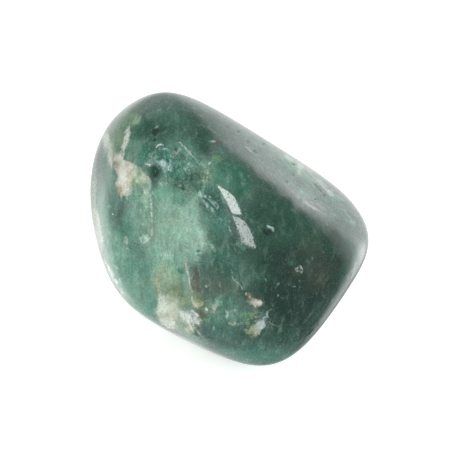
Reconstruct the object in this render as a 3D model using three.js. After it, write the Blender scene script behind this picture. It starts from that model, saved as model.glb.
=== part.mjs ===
// Tumbled tree agate: one natural pebble, worn smooth and polished, lying on its broadest flat side.
// Millimetres, +Z up. The stone rests on z = 0, with the middle of its bounding box at x = y = 0.

import * as THREE from "three";
import { mergeVertices } from "three/addons/utils/BufferGeometryUtils.js";

// Driving dimensions.

// Each flat that tumbling has worn on the stone faces out along an azimuth (degrees from +X towards +Y)
// and an elevation (degrees above the horizon), at a distance from the heart of the stone.
const FLATS = [
  { name: "front left", azimuth: 255, elevation: 50, distance: 12.1 },
  { name: "front upper", azimuth: 285, elevation: 55, distance: 9.9 },
  { name: "front right", azimuth: 315, elevation: 30, distance: 12.6 },
  { name: "upper flank", azimuth: 50, elevation: 50, distance: 10.2 },
  { name: "upper edge", azimuth: 60, elevation: 40, distance: 10.8 },
  { name: "upper back", azimuth: 90, elevation: 10, distance: 13.0 },
  { name: "right corner", azimuth: 355, elevation: -5, distance: 24.2 },
  { name: "right end", azimuth: 355, elevation: -15, distance: 16.5 },
  { name: "right back", azimuth: 40, elevation: -50, distance: 14.5 },
  { name: "under right", azimuth: 350, elevation: -55, distance: 15.0 },
  { name: "lower tip", azimuth: 285, elevation: -10, distance: 16.6 },
  { name: "lower flank", azimuth: 260, elevation: -25, distance: 13.9 },
  { name: "lower back", azimuth: 245, elevation: -50, distance: 14.5 },
  { name: "left flank", azimuth: 215, elevation: 5, distance: 14.6 },
  { name: "left back", azimuth: 220, elevation: -30, distance: 14.5 },
  { name: "left end", azimuth: 190, elevation: 30, distance: 15.5 },
  { name: "under left", azimuth: 175, elevation: -45, distance: 13.5 },
  { name: "crown", azimuth: 160, elevation: 80, distance: 14.3 },
  { name: "top end", azimuth: 140, elevation: 35, distance: 19.2 },
  { name: "top edge", azimuth: 110, elevation: 35, distance: 18.2 },
  { name: "top back", azimuth: 145, elevation: 10, distance: 21.8 },
  { name: "back", azimuth: 105, elevation: -35, distance: 13.0 },
  { name: "base", azimuth: 0, elevation: -90, distance: 11.0 },
];

// How tightly one flat rounds over into the next: a higher power makes crisper corners.
const CORNER_POWER = 8.5;

// The stone lies on this level below its heart, which cuts the base to a true flat.
const REST_DEPTH = 10.6;

// The icosahedron behind the stone has 20 x (detail + 1)^2 facets.
const DETAIL = 15;

const COLOUR = 0x5f7f70;
const ROUGHNESS = 0.2;

// The outward normal of a flat, as a unit vector.
function flatNormal({ azimuth, elevation }) {
  const turn = THREE.MathUtils.degToRad(azimuth);
  const rise = THREE.MathUtils.degToRad(elevation);
  return new THREE.Vector3(
    Math.cos(turn) * Math.cos(rise),
    Math.sin(turn) * Math.cos(rise),
    Math.sin(rise),
  );
}

const NORMALS = FLATS.map(flatNormal);

// How far the surface lies from the heart along a unit direction. With an endless power it would be
// the polyhedron of the flats; this power rounds every edge and corner of it.
function surfaceDistance(direction) {
  let sum = 0;
  NORMALS.forEach((normal, i) => {
    const reach = normal.dot(direction) / FLATS[i].distance;
    if (reach > 0) sum += reach ** CORNER_POWER;
  });
  return sum ** (-1 / CORNER_POWER);
}

// The stone's closed surface: a sphere's points pushed out to the rounded flats, and level below.
function pebbleGeometry() {
  const sphere = new THREE.IcosahedronGeometry(1, DETAIL);
  sphere.deleteAttribute("normal");
  sphere.deleteAttribute("uv");
  const geometry = mergeVertices(sphere);
  const points = geometry.getAttribute("position");
  const point = new THREE.Vector3();
  for (let i = 0; i < points.count; i++) {
    point.fromBufferAttribute(points, i).normalize();
    point.multiplyScalar(surfaceDistance(point));
    points.setXYZ(i, point.x, point.y, Math.max(point.z, -REST_DEPTH));
  }
  geometry.computeBoundingBox();
  const box = geometry.boundingBox;
  const middle = box.getCenter(new THREE.Vector3());
  geometry.translate(-middle.x, -middle.y, -box.min.z);
  geometry.computeVertexNormals();
  return geometry;
}

const stone = new THREE.Mesh(
  pebbleGeometry(),
  new THREE.MeshStandardMaterial({ color: COLOUR, roughness: ROUGHNESS, metalness: 0 }),
);
stone.name = "tree_agate_stone";

const group = new THREE.Group();
group.add(stone);

export default group;
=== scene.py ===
"""A tumbled tree agate on a pale floor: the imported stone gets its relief, markings and polish."""

import math

import bmesh
import bpy
import numpy as np
from bpy.props import FloatProperty, FloatVectorProperty, IntProperty, PointerProperty
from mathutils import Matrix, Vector, noise


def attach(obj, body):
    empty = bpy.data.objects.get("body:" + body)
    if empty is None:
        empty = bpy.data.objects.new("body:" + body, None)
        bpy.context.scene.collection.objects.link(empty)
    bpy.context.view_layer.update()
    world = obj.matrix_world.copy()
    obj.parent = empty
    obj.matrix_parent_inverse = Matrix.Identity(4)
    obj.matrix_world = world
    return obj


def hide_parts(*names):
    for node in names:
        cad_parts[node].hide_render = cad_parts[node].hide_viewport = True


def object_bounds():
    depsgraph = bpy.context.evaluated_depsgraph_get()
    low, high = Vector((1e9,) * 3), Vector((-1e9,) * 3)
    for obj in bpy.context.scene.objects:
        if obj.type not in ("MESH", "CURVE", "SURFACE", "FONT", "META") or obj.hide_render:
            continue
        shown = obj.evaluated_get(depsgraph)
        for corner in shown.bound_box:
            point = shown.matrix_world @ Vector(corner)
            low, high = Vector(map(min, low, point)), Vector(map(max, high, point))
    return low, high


bl_info = {
    "name": "Tumbled tree agate",
    "version": (1, 0, 0),
    "blender": (4, 5, 0),
    "location": "3D View > Sidebar > Agate",
    "description": "Builds a polished tree agate pebble and the stage it lies on",
    "category": "Add Mesh",
}

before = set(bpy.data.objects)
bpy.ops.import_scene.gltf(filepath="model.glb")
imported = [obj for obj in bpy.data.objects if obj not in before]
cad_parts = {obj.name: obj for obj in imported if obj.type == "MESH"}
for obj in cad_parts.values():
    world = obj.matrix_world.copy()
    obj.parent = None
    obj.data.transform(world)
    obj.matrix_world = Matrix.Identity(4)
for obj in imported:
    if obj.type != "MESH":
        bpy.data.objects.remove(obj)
cad_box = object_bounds()

STONE_NODE = "tree_agate_stone"
MM = 0.001


# The photograph

# The camera stands at this azimuth and elevation, this far from the middle of the stone's box. That
# middle falls on this pixel of the photograph, which is square.
CAMERA_AZIMUTH = math.radians(21)
CAMERA_ELEVATION = math.radians(55)
CAMERA_DISTANCE = 288.25 * MM
LENS = 200.0
SENSOR = 36.0
PHOTO_SIZE = 460
MIDDLE_PIXEL = (216.95, 225.9)
PIXELS_PER_SLOPE = PHOTO_SIZE * LENS / SENSOR
PIXEL = CAMERA_DISTANCE / PIXELS_PER_SLOPE

RIGHT = np.array((math.cos(CAMERA_AZIMUTH), math.sin(CAMERA_AZIMUTH), 0.0))
BACK = np.array(
    (
        math.sin(CAMERA_AZIMUTH) * math.cos(CAMERA_ELEVATION),
        -math.cos(CAMERA_AZIMUTH) * math.cos(CAMERA_ELEVATION),
        math.sin(CAMERA_ELEVATION),
    )
)
UP = np.cross(BACK, RIGHT)


def camera_point():
    """Where the camera stands for the middle of the stone's box to fall on its pixel."""
    low, high = (np.array(corner) for corner in cad_box)
    aside = PHOTO_SIZE / 2 - MIDDLE_PIXEL[0]
    above = MIDDLE_PIXEL[1] - PHOTO_SIZE / 2
    return (low + high) / 2 + BACK * CAMERA_DISTANCE + (RIGHT * aside + UP * above) * PIXEL


def photo_pixels(points):
    """The x and y, in pixels of the photograph, at which points of the stone are seen."""
    rays = points - camera_point()
    depth = -rays @ BACK
    x = PHOTO_SIZE / 2 + PIXELS_PER_SLOPE * (rays @ RIGHT) / depth
    y = PHOTO_SIZE / 2 - PIXELS_PER_SLOPE * (rays @ UP) / depth
    return x, y


# The palette, and the amounts that a user may change


def srgb(red, green, blue):
    """A colour as it looks on the screen, 0 to 255, as the linear colour that a shader takes."""
    shares = (c / 255 for c in (red, green, blue))
    return tuple(c / 12.92 if c < 0.04045 else ((c + 0.055) / 1.055) ** 2.4 for c in shares)


def colour_of(label, what, shade):
    return FloatVectorProperty(
        name=label, description=what, default=srgb(*shade), min=0.0, max=1.0, size=3, subtype="COLOR"
    )


def amount_of(label, what, default, low=0.0, **limits):
    return FloatProperty(name=label, description=what, default=default, min=low, **limits)


def cuts_of(label, what, default):
    return IntProperty(name=label, description=what, default=default, min=0, max=4)


class AgateColours(bpy.types.PropertyGroup):
    """The minerals of the stone."""

    # Ink and night also paint shadows: the shade round the white hook, and the ledge shade.
    ink: colour_of("Ink", "The darkest cracks and pits", (30, 44, 40))
    night: colour_of("Night green", "The darkest translucent body", (44, 62, 57))
    pine: colour_of("Pine", "The dark right half", (50, 80, 68))
    fir: colour_of("Fir", "Middling dark green", (64, 98, 84))
    bottle: colour_of("Bottle green", "Clear deep green", (54, 104, 82))
    slate: colour_of("Slate", "Cool grey green", (82, 110, 102))
    ash: colour_of("Ash", "The grey haze of the upper flank", (98, 110, 106))
    mist: colour_of("Mist", "The pale streaks of the upper flank", (178, 186, 184))
    umber: colour_of("Umber", "Brownish grey stains", (92, 90, 80))
    teal: colour_of("Teal", "Bluish green crystal", (78, 130, 114))
    sea: colour_of("Sea green", "The lower left flank", (106, 150, 134))
    mint: colour_of("Mint", "The broad pale band", (142, 180, 160))
    pale_mint: colour_of("Pale mint", "The lightest green", (172, 204, 188))
    # Pale moss also paints part of the highlight along the ledge's rim.
    pale_moss: colour_of("Pale moss", "The lobe beside the ledge", (158, 188, 162))
    moss: colour_of("Moss", "Green tufts", (104, 142, 106))
    olive: colour_of("Olive", "Dull yellow stains", (150, 164, 134))
    ochre: colour_of("Ochre", "Yellow stains of the foot", (168, 172, 130))
    tan: colour_of("Tan", "Light brown stains", (172, 158, 132))
    cream: colour_of("Cream", "The large pale patches", (200, 200, 182))
    # Milk's white rim is partly a painted reflection along the grazing left edge. Milk also paints part of
    # the highlight along the ledge's rim.
    milk: colour_of("Milk", "The pale foot and the white rim", (206, 216, 202))
    # Bone also paints the highlight on the right tip.
    bone: colour_of("Bone", "White flecks and veins", (224, 228, 218))
    shell: colour_of("Shell", "Greyish white crystal", (184, 186, 174))
    ice: colour_of("Ice", "Bluish white crystal", (168, 194, 190))
    vein: colour_of("Vein", "The clear sloping vein", (186, 196, 182))


class AgateSettings(bpy.types.PropertyGroup):
    """Sizes and amounts of the stone's surface."""

    colours: PointerProperty(type=AgateColours)
    coarse_cuts: cuts_of("Coarse cuts", "Cuts of every edge of the packed mesh", 1)
    fine_cuts: cuts_of("Fine cuts", "Further cuts of every edge on the seen side", 3)
    ledge_depth: amount_of(
        "Ledge depth", "Height of the curved step beside the moss lobe", 0.16 * MM, unit="LENGTH"
    )
    wave_depth: amount_of(
        "Wave depth", "Depth of the gentle hollows left by tumbling", 0.02 * MM, unit="LENGTH"
    )
    polish: amount_of("Polish", "Roughness of the polished skin", 0.03, max=1.0, subtype="FACTOR")
    mottle: amount_of(
        "Mottle", "How strongly the grain changes the colours", 0.8, max=2.0, subtype="FACTOR"
    )


class StageSettings(bpy.types.PropertyGroup):
    """The floor and the lights."""

    floor_colour: colour_of("Floor", "Colour of the pale floor", (247, 247, 245))
    floor_half: amount_of("Floor half width", "Half the width of the floor", 3.0, 0.1, unit="LENGTH")
    floor_glow: amount_of("Floor glow", "Light that the floor gives off, as a light table does", 0.5)
    key_power: amount_of("Key power", "Power of the soft key light", 1.3, unit="POWER")
    fill_power: amount_of("Fill power", "Power of the soft fill light", 0.7, unit="POWER")
    back_power: amount_of("Back power", "Power of the soft light behind the stone", 1.3, unit="POWER")
    window: amount_of("Window", "Brightness of the two window panes", 12.0)
    air: amount_of("Surroundings", "Brightness of the surroundings", 0.55)


# The markings, in pixels of the photograph

# Each marking has a name, a colour, and one or more shapes. Later ones cover earlier ones. The shape of
# a zone or a patch: middle x and y, half width and half height, clockwise turn in degrees, strength, and
# softness of the edge. Zones make up the body of the stone, and patches and strokes lie in it.
ZONES = (
    ("crown", "fir", (163, 132, 42, 28, 0, 0.9, 20)),
    ("pale crown", "sea", (168, 116, 18, 6, 12, 0.3, 12)),
    ("crown heart", "pine", (158, 130, 14, 9, 10, 0.5, 12)),
    ("grey top", "slate", (172, 106, 40, 12, 18, 0.4, 16)),
    ("grey shoulder", "ash", (240, 150, 40, 12, 40, 0.6, 16)),
    ("shade of the shoulder", "pine", (214, 122, 34, 11, 27, 0.8, 16), (203, 142, 8, 14, 0, 0.85, 12)),
    ("mossy saddle", "sea", (207, 170, 15, 11, 10, 0.8, 12)),
    ("warm saddle", "olive", (207, 174, 12, 11, 0, 0.3, 10)),
    ("saddle", "bottle", (232, 180, 20, 24, 0, 0.75, 22)),
    ("green saddle", "sea", (224, 188, 9, 12, 0, 0.4, 12)),
    ("dark right half", "pine",
     (296, 250, 56, 78, 0, 0.97, 34), (266, 226, 20, 20, 0, 0.4, 18), (272, 208, 24, 14, 30, 0.5, 16)),
    ("darkest corner", "night", (304, 300, 44, 40, -30, 0.9, 34)),
    ("dusk right", "umber", (314, 262, 22, 30, -8, 0.22, 22)),
    ("dark hollow right", "night", (280, 258, 20, 12, 0, 0.75, 14), (335, 248, 15, 20, 0, 0.62, 16)),
    ("upper flank", "ash", (302, 182, 84, 24, 37, 0.85, 22)),
    ("shade under crest", "pine", (270, 194, 32, 7, 42, 0.55, 14)),
    ("green flank", "sea", (304, 180, 76, 13, 37, 0.3, 14)),
    ("pale flank", "mint", (300, 168, 22, 6, 38, 0.5, 8)),
    ("crest haze", "mist", (302, 196, 28, 8, 41, 0.4, 14), (262, 168, 18, 6, 41, 0.15, 10)),
    ("lower right rim", "slate", (322, 316, 40, 9, -52, 0.25, 12)),
    ("left flank", "sea",
     (110, 240, 16, 46, -14, 0.75, 20), (105, 190, 8, 34, 4, 0.35, 9),
     (138, 286, 26, 42, -22, 0.95, 18)),
    ("left hollow", "slate", (118, 212, 10, 18, 0, 0.35, 14)),
    ("left light", "mint", (115, 182, 7, 26, 0, 0.35, 9)),
    ("left brown", "umber", (120, 221, 6, 10, -20, 0.3, 8)),
    ("left teal", "teal", (132, 230, 12, 16, -20, 0.6, 12)),
    ("pale field", "mint",
     (137, 210, 12, 34, 0, 0.6, 14), (115, 246, 8, 28, -14, 0.7, 12), (132, 290, 14, 12, 45, 0.35, 12)),
    ("moss shoulder", "moss", (122, 128, 14, 20, 25, 0.5, 14)),
    ("green shoulder", "bottle", (120, 117, 15, 14, 45, 0.85, 12), (134, 132, 8, 14, 0, 0.4, 10)),
    ("pale shoulder", "mint", (134, 152, 8, 12, 0, 0.45, 10)),
    ("centre green", "bottle", (178, 182, 28, 20, 20, 0.6, 18)),
    ("clear centre", "sea", (198, 190, 14, 10, 0, 0.4, 12), (186, 160, 22, 14, 40, 0.35, 16)),
    ("crystal bed", "teal", (160, 160, 24, 16, 20, 0.7, 14)),
    ("pale crystal bed", "sea", (182, 152, 18, 12, 40, 0.5, 12)),
    ("mint field", "mint", (160, 216, 13, 34, 5, 0.8, 16), (188, 226, 20, 36, -10, 0.95, 18)),
    ("mint heart", "pale_mint", (192, 234, 10, 24, -10, 0.35, 14)),
    ("green in mint", "teal", (181, 199, 6, 7, 10, 0.4, 8)),
    ("mint slope", "mint", (168, 250, 20, 24, 5, 0.8, 16), (170, 272, 18, 14, 0, 0.7, 12)),
    ("ochre foot", "olive", (167, 283, 13, 19, 6, 0.6, 8)),
    ("pale by seam", "mint", (187, 284, 5, 16, -8, 0.6, 6)),
    ("moss foot", "moss", (180, 297, 9, 12, -25, 0.4, 10)),
    ("cream foot", "milk", (169, 309.5, 12.5, 13, 30, 0.85, 7)),
    ("foot below", "cream", (180, 323, 18, 9, 32, 0.6, 10)),
    ("foot rim", "mint", (192, 338, 14, 5, 26, 0.6, 8)),
    ("blue hollow", "teal", (216, 218, 12, 18, -28, 0.6, 12)),
    ("green by mint", "bottle", (204, 212, 14, 20, -20, 0.12, 16), (218, 240, 10, 12, -30, 0.45, 12)),
    ("grey middle", "fir", (232, 264, 22, 22, 10, 0.65, 20)),
    ("grey ridge side", "slate", (243, 262, 10, 12, 0, 0.6, 12)),
    ("ridge foot", "pine", (244, 250, 16, 10, 20, 0.6, 10)),
    ("brown seam", "umber", (195.8, 281, 4.2, 13, 0, 0.7, 5)),
    ("ochre hollow", "ochre", (193, 300, 9, 8, 20, 0.5, 10)),
    ("green middle", "pine", (226, 290, 24, 22, 0, 0.4, 18)),
    ("pale middle", "sea", (190, 310, 12, 18, 0, 0.6, 12)),
    ("warm middle", "tan", (214, 300, 40, 24, 0, 0.08, 20)),
    ("pale low middle", "sea", (222, 312, 18, 12, 0, 0.3, 12)),
    ("teal bottom", "teal", (228, 316, 22, 18, 0, 0.35, 18)),
    ("olive hollow", "moss", (202, 312, 8, 12, 0, 0.4, 10)),
    ("dusk below", "slate", (222, 340, 24, 9, 12, 0.7, 12)),
    ("green below", "pine", (268, 334, 30, 12, 0, 0.6, 14)),
    ("lower belt", "teal", (250, 356, 34, 8, 2, 0.6, 10)),
    ("dark rim low", "night", (312, 334, 16, 8, -40, 0.5, 10)),
)

PATCHES = (
    # The cream and moss lobe at the upper left, above the ledge.
    # This marking is partly a pale streak and partly a painted reflection of the bright surroundings on
    # the grazing left rim.
    ("white edge", "milk",
     (107.6, 145, 4.6, 14, -10, 0.8, 5), (98, 232, 4.4, 26, -7, 0.85, 5),
     (94.6, 184, 2.8, 24, 3, 0.5, 4), (108, 270, 3.6, 16, -27, 0.7, 5),
     (121, 293, 2.6, 12, -36, 0.5, 5), (110, 160, 3.5, 10, -12, 0.6, 5)),
    ("teal strip", "teal", (104, 165, 3.5, 15, 3, 0.75, 5)),
    ("moss tuft", "moss",
     (117, 141, 5, 13, 8, 0.8, 6), (128, 120, 9, 9, 30, 0.5, 8), (137, 119, 5, 7, 12, 0.5, 6)),
    ("taupe ring", "tan", (117.5, 161, 5, 7.5, -8, 0.3, 3)),
    ("shell oval", "milk", (118, 158.5, 3.6, 5, 0, 0.7, 3)),
    ("taupe spot", "umber", (117, 165, 3, 2.6, 0, 0.55, 2.5)),
    ("cream body", "cream", (127, 171, 12, 10, 25, 0.85, 4)),
    ("cream foot left", "cream", (124, 185, 8, 11, -5, 0.9, 4)),
    ("cream glow", "bone", (123, 176, 4, 8, 10, 0.5, 4)),
    ("cream grain", "cream", (133, 172, 5, 6, 20, 0.5, 4)),
    ("bright dot", "bone", (129.6, 167.5, 1.8, 2, 0, 0.95, 1.4), (127, 190, 3, 4.5, -25, 0.8, 2.5)),
    ("rust", "tan", (120, 189.5, 2.2, 2.8, 0, 0.3, 2.5), (120, 195, 2, 2.6, 0, 0.3, 2)),
    ("tan grain", "olive", (134, 184, 4, 6, 5, 0.5, 4)),
    ("pale lobe", "pale_moss", (143, 180, 6, 12, -28, 0.85, 4)),
    ("pale lobe glow", "cream", (144, 177, 3, 6, -28, 0.35, 4)),
    ("lobe grain", "teal", (146.5, 188, 2.6, 4, 0, 0.4, 2.6)),
    ("lobe dimple", "sea", (139, 173, 1.8, 2.6, -20, 0.5, 2), (144, 186, 3, 3, 0, 0.6, 3)),
    ("lobe stalk", "pale_moss", (147, 198, 4, 8, 0, 0.45, 4)),
    ("lobe grey", "mint", (136, 196, 7, 7, 0, 0.35, 6)),
    ("lobe below", "pale_moss", (145, 212, 6, 22, -4, 0.4, 5)),
    ("lobe tip", "pale_mint", (144, 238.4, 5, 4.4, -30, 0.55, 3)),
    ("shell spot", "shell", (136.5, 205.5, 2, 1.8, 0, 0.45, 2)),
    ("dark hollow", "slate", (122, 209, 7, 6, 0, 0.35, 6), (156, 178, 5, 13, -4, 0.75, 5)),
    ("brown in slate", "umber", (119.6, 222, 3.4, 4, 0, 0.4, 4)),
    ("deep teal", "teal", (130, 229, 4.4, 6, -20, 0.5, 4)),
    ("pale olive spot", "pale_moss", (126, 240.4, 3, 5, 0, 0.75, 2.6)),
    ("grey spot", "mint", (109, 207, 3, 2.2, 0, 0.5, 2)),
    # The crystals and the dark notches of the upper middle.
    ("dark cleft", "night", (155, 131, 3, 6, 15, 0.8, 3), (162, 130, 8, 3, -15, 0.45, 4)),
    ("dark bed", "pine", (155, 168, 9, 7, 0, 0.45, 6)),
    ("ink dot", "ink", (155, 140, 2.2, 1.6, 0, 0.7, 1.8), (156, 175, 1.8, 1.6, 0, 0.6, 1.6)),
    ("ink notch", "night", (176.5, 151, 2.4, 4.5, -10, 0.85, 2.2), (165, 169, 2, 4, -15, 0.5, 2)),
    ("pale crystal right", "shell", (174, 157, 2.6, 4.5, -15, 0.4, 2.6)),
    ("ice crystal", "ice",
     (152, 158, 7, 5, 0, 0.35, 5), (170, 167, 4, 6, 10, 0.45, 4), (163, 163, 4, 4, 0, 0.6, 3),
     (186, 168, 3, 3.5, -20, 0.4, 3)),
    ("ink pool", "night", (181, 185, 3.5, 3.5, 20, 0.6, 3), (183, 189, 3, 2.4, 0, 0.6, 2.6)),
    ("white in pool", "bone", (179.4, 185.2, 0.9, 1, 0, 0.9, 0.8)),
    ("clear green", "bottle", (172, 187, 8, 8, 0, 0.4, 7)),
    ("moss stain", "moss", (217, 159, 6, 4.5, 0, 0.5, 4), (226, 164, 5, 4, 0, 0.3, 4)),
    ("brown stain", "umber", (216, 143, 6, 3, 0, 0.65, 4), (210.6, 171, 2.4, 3, 10, 0.45, 2.6)),
    ("blue grain", "ice", (163, 184, 4, 3, 0, 0.35, 3), (209.5, 163, 1.8, 1.6, 0, 0.7, 1.8)),
    ("tan streak", "olive", (203.5, 182, 2.2, 8, 8, 0.45, 4)),
    ("pale head", "mint", (199, 194, 3, 4, 0, 0.6, 3), (212, 247, 2.6, 6, -25, 0.7, 3)),
    ("clear green below", "bottle", (211, 213, 5, 8, -20, 0.4, 6)),
    ("crystal fan", "teal", (211, 203.5, 11, 5.5, 42, 0.7, 4)),
    ("olive in mint", "olive", (203, 226, 3.4, 2.4, 0, 0.5, 2.6)),
    ("shell in mint", "shell", (187, 249, 2.8, 3.4, 0, 0.4, 3)),
    ("dark grain", "pine", (198, 250.5, 2.2, 1.6, 0, 0.85, 1.8), (242.5, 248.5, 3, 1.6, 0, 0.8, 2)),
    ("pale slope", "pale_mint", (165, 256, 10, 9, 0, 0.3, 9)),
    ("slate streak", "slate",
     (183, 203, 5, 4, 0, 0.35, 5), (205, 258, 9, 6, 10, 0.5, 6), (181, 248, 2.4, 8, -8, 0.5, 4),
     (178, 262, 3, 6, 0, 0.35, 4)),
    ("bottle drop", "bottle", (181, 271, 4, 4, 0, 0.6, 4)),
    ("blue under ridge", "teal", (240, 245, 8, 4, 40, 0.5, 4)),
    # The ochre and cream foot.
    ("ochre edge", "ochre", (155.4, 273, 2.6, 7, -3, 0.35, 4)),
    ("ochre fibre", "olive", (158, 285, 2.4, 10, -5, 0.3, 4)),
    ("ochre", "ochre", (163, 283, 7, 6, -5, 0.15, 7)),
    ("pale in ochre", "milk", (161, 294, 4, 7, -5, 0.4, 5)),
    ("ochre below", "olive", (172, 299, 6, 3.2, -5, 0.4, 4)),
    ("moss dot", "moss", (170.5, 292, 2.2, 2.2, 0, 0.9, 1.8), (178, 287, 6, 9, 0, 0.3, 6)),
    ("moss below", "olive", (184, 304, 5, 6, 20, 0.45, 5)),
    ("cream heart", "milk",
     (165, 307.5, 7, 7, 10, 0.75, 6), (161, 301, 4, 5, 10, 0.5, 5), (169, 323.5, 10, 6.5, 33, 0.7, 7)),
    ("moss glow", "olive", (176, 297, 9, 8, 20, 0.3, 8)),
    ("mint in cream", "mint", (176, 313, 5, 4, 0, 0.3, 5)),
    ("cream by chip", "milk", (184.6, 317, 5.4, 9, -35, 0.65, 5)),
    ("cream below chip", "cream", (188.6, 329, 4, 4.6, 0, 0.6, 4)),
    ("chip", "mist", (193.5, 318, 4.5, 10, -38, 0.6, 3.5)),
    ("chip glow", "milk", (197, 321, 2.8, 4.4, -38, 0.3, 3)),
    ("chip shade", "umber", (199, 311, 4, 3, 35, 0.6, 4)),
    ("chip hole", "pine", (198, 328, 3, 1.6, 10, 0.7, 1.8)),
    ("chip hole below", "fir", (197, 333, 3.6, 2.8, 20, 0.85, 2)),
    ("chip moss", "olive", (194.6, 328.8, 1.8, 1.4, 0, 0.8, 1.4)),
    ("ochre by chip", "ochre", (199, 303, 6, 4, 10, 0.6, 4), (192.6, 296.5, 1.4, 2.2, 0, 0.6, 1.8)),
    ("shell by chip", "shell", (196, 306, 3, 2.2, 0, 0.4, 2.4)),
    ("umber pool", "umber", (204, 315, 5, 5, 0, 0.5, 5)),
    # The lower middle and its white crystals.
    ("white seed", "bone", (206.8, 309, 1.2, 2, -35, 0.9, 1.2)),
    ("pale cloud", "olive", (214, 303, 3.8, 8, 8, 0.36, 5)),
    ("ice cloud", "mist", (215, 308, 2.4, 6, 8, 0.34, 4)),
    ("pale cloud right", "mint", (219.4, 303, 3.4, 4, 0, 0.5, 3)),
    ("umber bar", "tan", (210.5, 312, 3.4, 1.4, 0, 0.5, 1.8), (220, 285, 3, 1.8, 0, 0.4, 2.4)),
    ("ice stripe", "ice", (207.5, 285.5, 2.6, 2, -10, 0.5, 2.4), (213.6, 327.5, 1.4, 2.8, 0, 0.6, 1.8)),
    ("pale arc head", "pale_mint", (226.5, 314.5, 2.4, 4.6, 0, 0.5, 3.4)),
    ("pale arc foot", "olive", (231, 324, 4, 2.4, 20, 0.5, 3.4)),
    ("olive arc", "cream", (238, 323.4, 7, 1.8, -4, 0.36, 3)),
    ("white dot", "milk", (234, 310.6, 1.2, 1.2, 0, 0.8, 1.2)),
    ("tan veil", "tan", (248.6, 296, 4.6, 3, 25, 0.4, 4)),
    ("tan by shell", "umber", (247, 304, 4, 4, 0, 0.5, 4)),
    ("shell crystal", "shell", (255.6, 302.4, 7, 4, 10, 0.85, 3.4)),
    ("moss bed", "olive", (253, 314, 10, 5, -10, 0.38, 6)),
    ("moss bed left", "moss", (246, 318, 7, 7, 0, 0.35, 6)),
    ("ice cap", "ice", (266.8, 313.5, 2, 3, 20, 0.6, 2.4)),
    ("ice heart", "ice", (259.8, 325.6, 5, 9.4, 36, 0.75, 6)),
    ("ice heart glow", "mist", (258, 327, 3.4, 6, 36, 0.55, 5)),
    ("olive rim", "olive", (250, 329, 4.6, 7.5, 32, 0.42, 6), (247, 331.5, 1.4, 3.4, -45, 0.7, 1.8)),
    ("olive under", "ochre", (255, 335.6, 5, 2.8, -20, 0.4, 5)),
    ("dark under", "pine", (242, 333, 4, 4, 0, 0.5, 4)),
    # The dark right half.
    # The first shape here and the ink shade that follows are painted shade round the white hook. The other
    # two shapes are dark grains.
    ("dark spot", "night",
     (268, 231, 5.5, 4.5, 0, 0.75, 3), (264, 262.5, 3, 2, 0, 0.8, 2), (275, 263, 4, 3, 0, 0.7, 3)),
    ("hook shade", "ink", (275, 231, 1.8, 3, 0, 0.4, 2)),
    ("teal dot", "teal", (253, 232, 1.8, 1.6, 0, 0.6, 1.6), (258, 276, 3.4, 3.6, 0, 0.3, 3)),
    ("moss pool", "moss", (288, 291, 6, 4, 0, 0.18, 4)),
    ("white cluster", "ice", (299.5, 269, 4.6, 3.6, 0, 0.34, 3)),
    ("cluster gap", "night", (297, 271, 1.6, 0.9, 0, 0.8, 1.2)),
    ("pale seed", "ice",
     (266, 280.5, 1.2, 2.4, -20, 0.4, 1.4), (278, 284, 2.2, 1.6, -20, 0.5, 1.5),
     (293.5, 286.6, 2.8, 0.8, 5, 0.5, 1.2), (278.4, 295, 1, 1.8, 0, 0.7, 1.4),
     (282.6, 297.8, 2.6, 1.5, 15, 0.45, 1.6), (287.6, 298.2, 1, 1.6, 0, 0.4, 1.4),
     (312.4, 258, 1.2, 2, 0, 0.4, 1.6), (323.3, 245, 1.4, 1.6, 0, 0.35, 1.8),
     (323.3, 252, 1.2, 1.6, 0, 0.35, 1.6), (285, 260.2, 1.4, 1, 0, 0.5, 1.4),
     (316.6, 294, 1.3, 2.4, 0, 0.3, 1.8), (327.4, 224.4, 1, 1, 0, 0.5, 1)),
    ("umber dusk", "umber", (312, 293, 6, 2.6, 0, 0.25, 3)),
    ("fir grain", "fir", (290, 262, 4, 5, 0, 0.5, 3)),
    # The upper flank.
    ("flank bright", "mist", (300, 166, 3.5, 6, -35, 0.5, 5)),
    ("flank milk", "milk",
     (299, 174, 3, 5, -20, 0.4, 4), (291, 158, 2, 7, -52, 0.4, 4), (311, 172, 2, 9, -50, 0.4, 4)),
    ("flank mint", "mint", (337, 198, 3, 9, -45, 0.5, 5), (352, 222, 3, 8, -28, 0.5, 5)),
    ("flank pit", "pine",
     (238, 131.8, 1.6, 1.6, 0, 0.7, 1.8), (247.4, 142.5, 1.2, 1.4, 0, 0.6, 1.6),
     (263.4, 144.4, 1.5, 1.2, 0, 0.8, 1.4), (254, 151, 1.6, 1.1, 20, 0.8, 1.4),
     (255.8, 153, 1.1, 1, 0, 0.6, 1.2), (293.4, 164.4, 2.4, 1.2, 15, 0.9, 1.4),
     (294, 174.5, 1.8, 1.5, 0, 0.8, 1.6), (304, 203.6, 1.4, 1.8, 0, 0.8, 1.4),
     (336.8, 202, 1, 2, 0, 0.6, 1.4), (341, 203, 1.8, 1.2, 30, 0.6, 1.4),
     (321.6, 191.2, 2, 1.1, 10, 0.8, 1.4), (324, 195.5, 1.4, 1.4, 0, 0.8, 1.4),
     (227, 127.3, 1.2, 0.9, 0, 0.5, 1.2)),
    ("flank pit", "umber", (286.4, 182, 2.2, 1.8, 0, 0.6, 2)),
    ("flank pit", "night",
     (315.4, 199.4, 1.6, 1, 0, 0.8, 1.2), (349, 214.4, 2.4, 1, 40, 0.7, 1.4),
     (304.5, 222, 1.2, 1.2, 0, 0.5, 1.2)),
    ("flank white", "mist", (297.5, 197.3, 2.2, 1.6, 20, 0.45, 2)),
)

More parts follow.
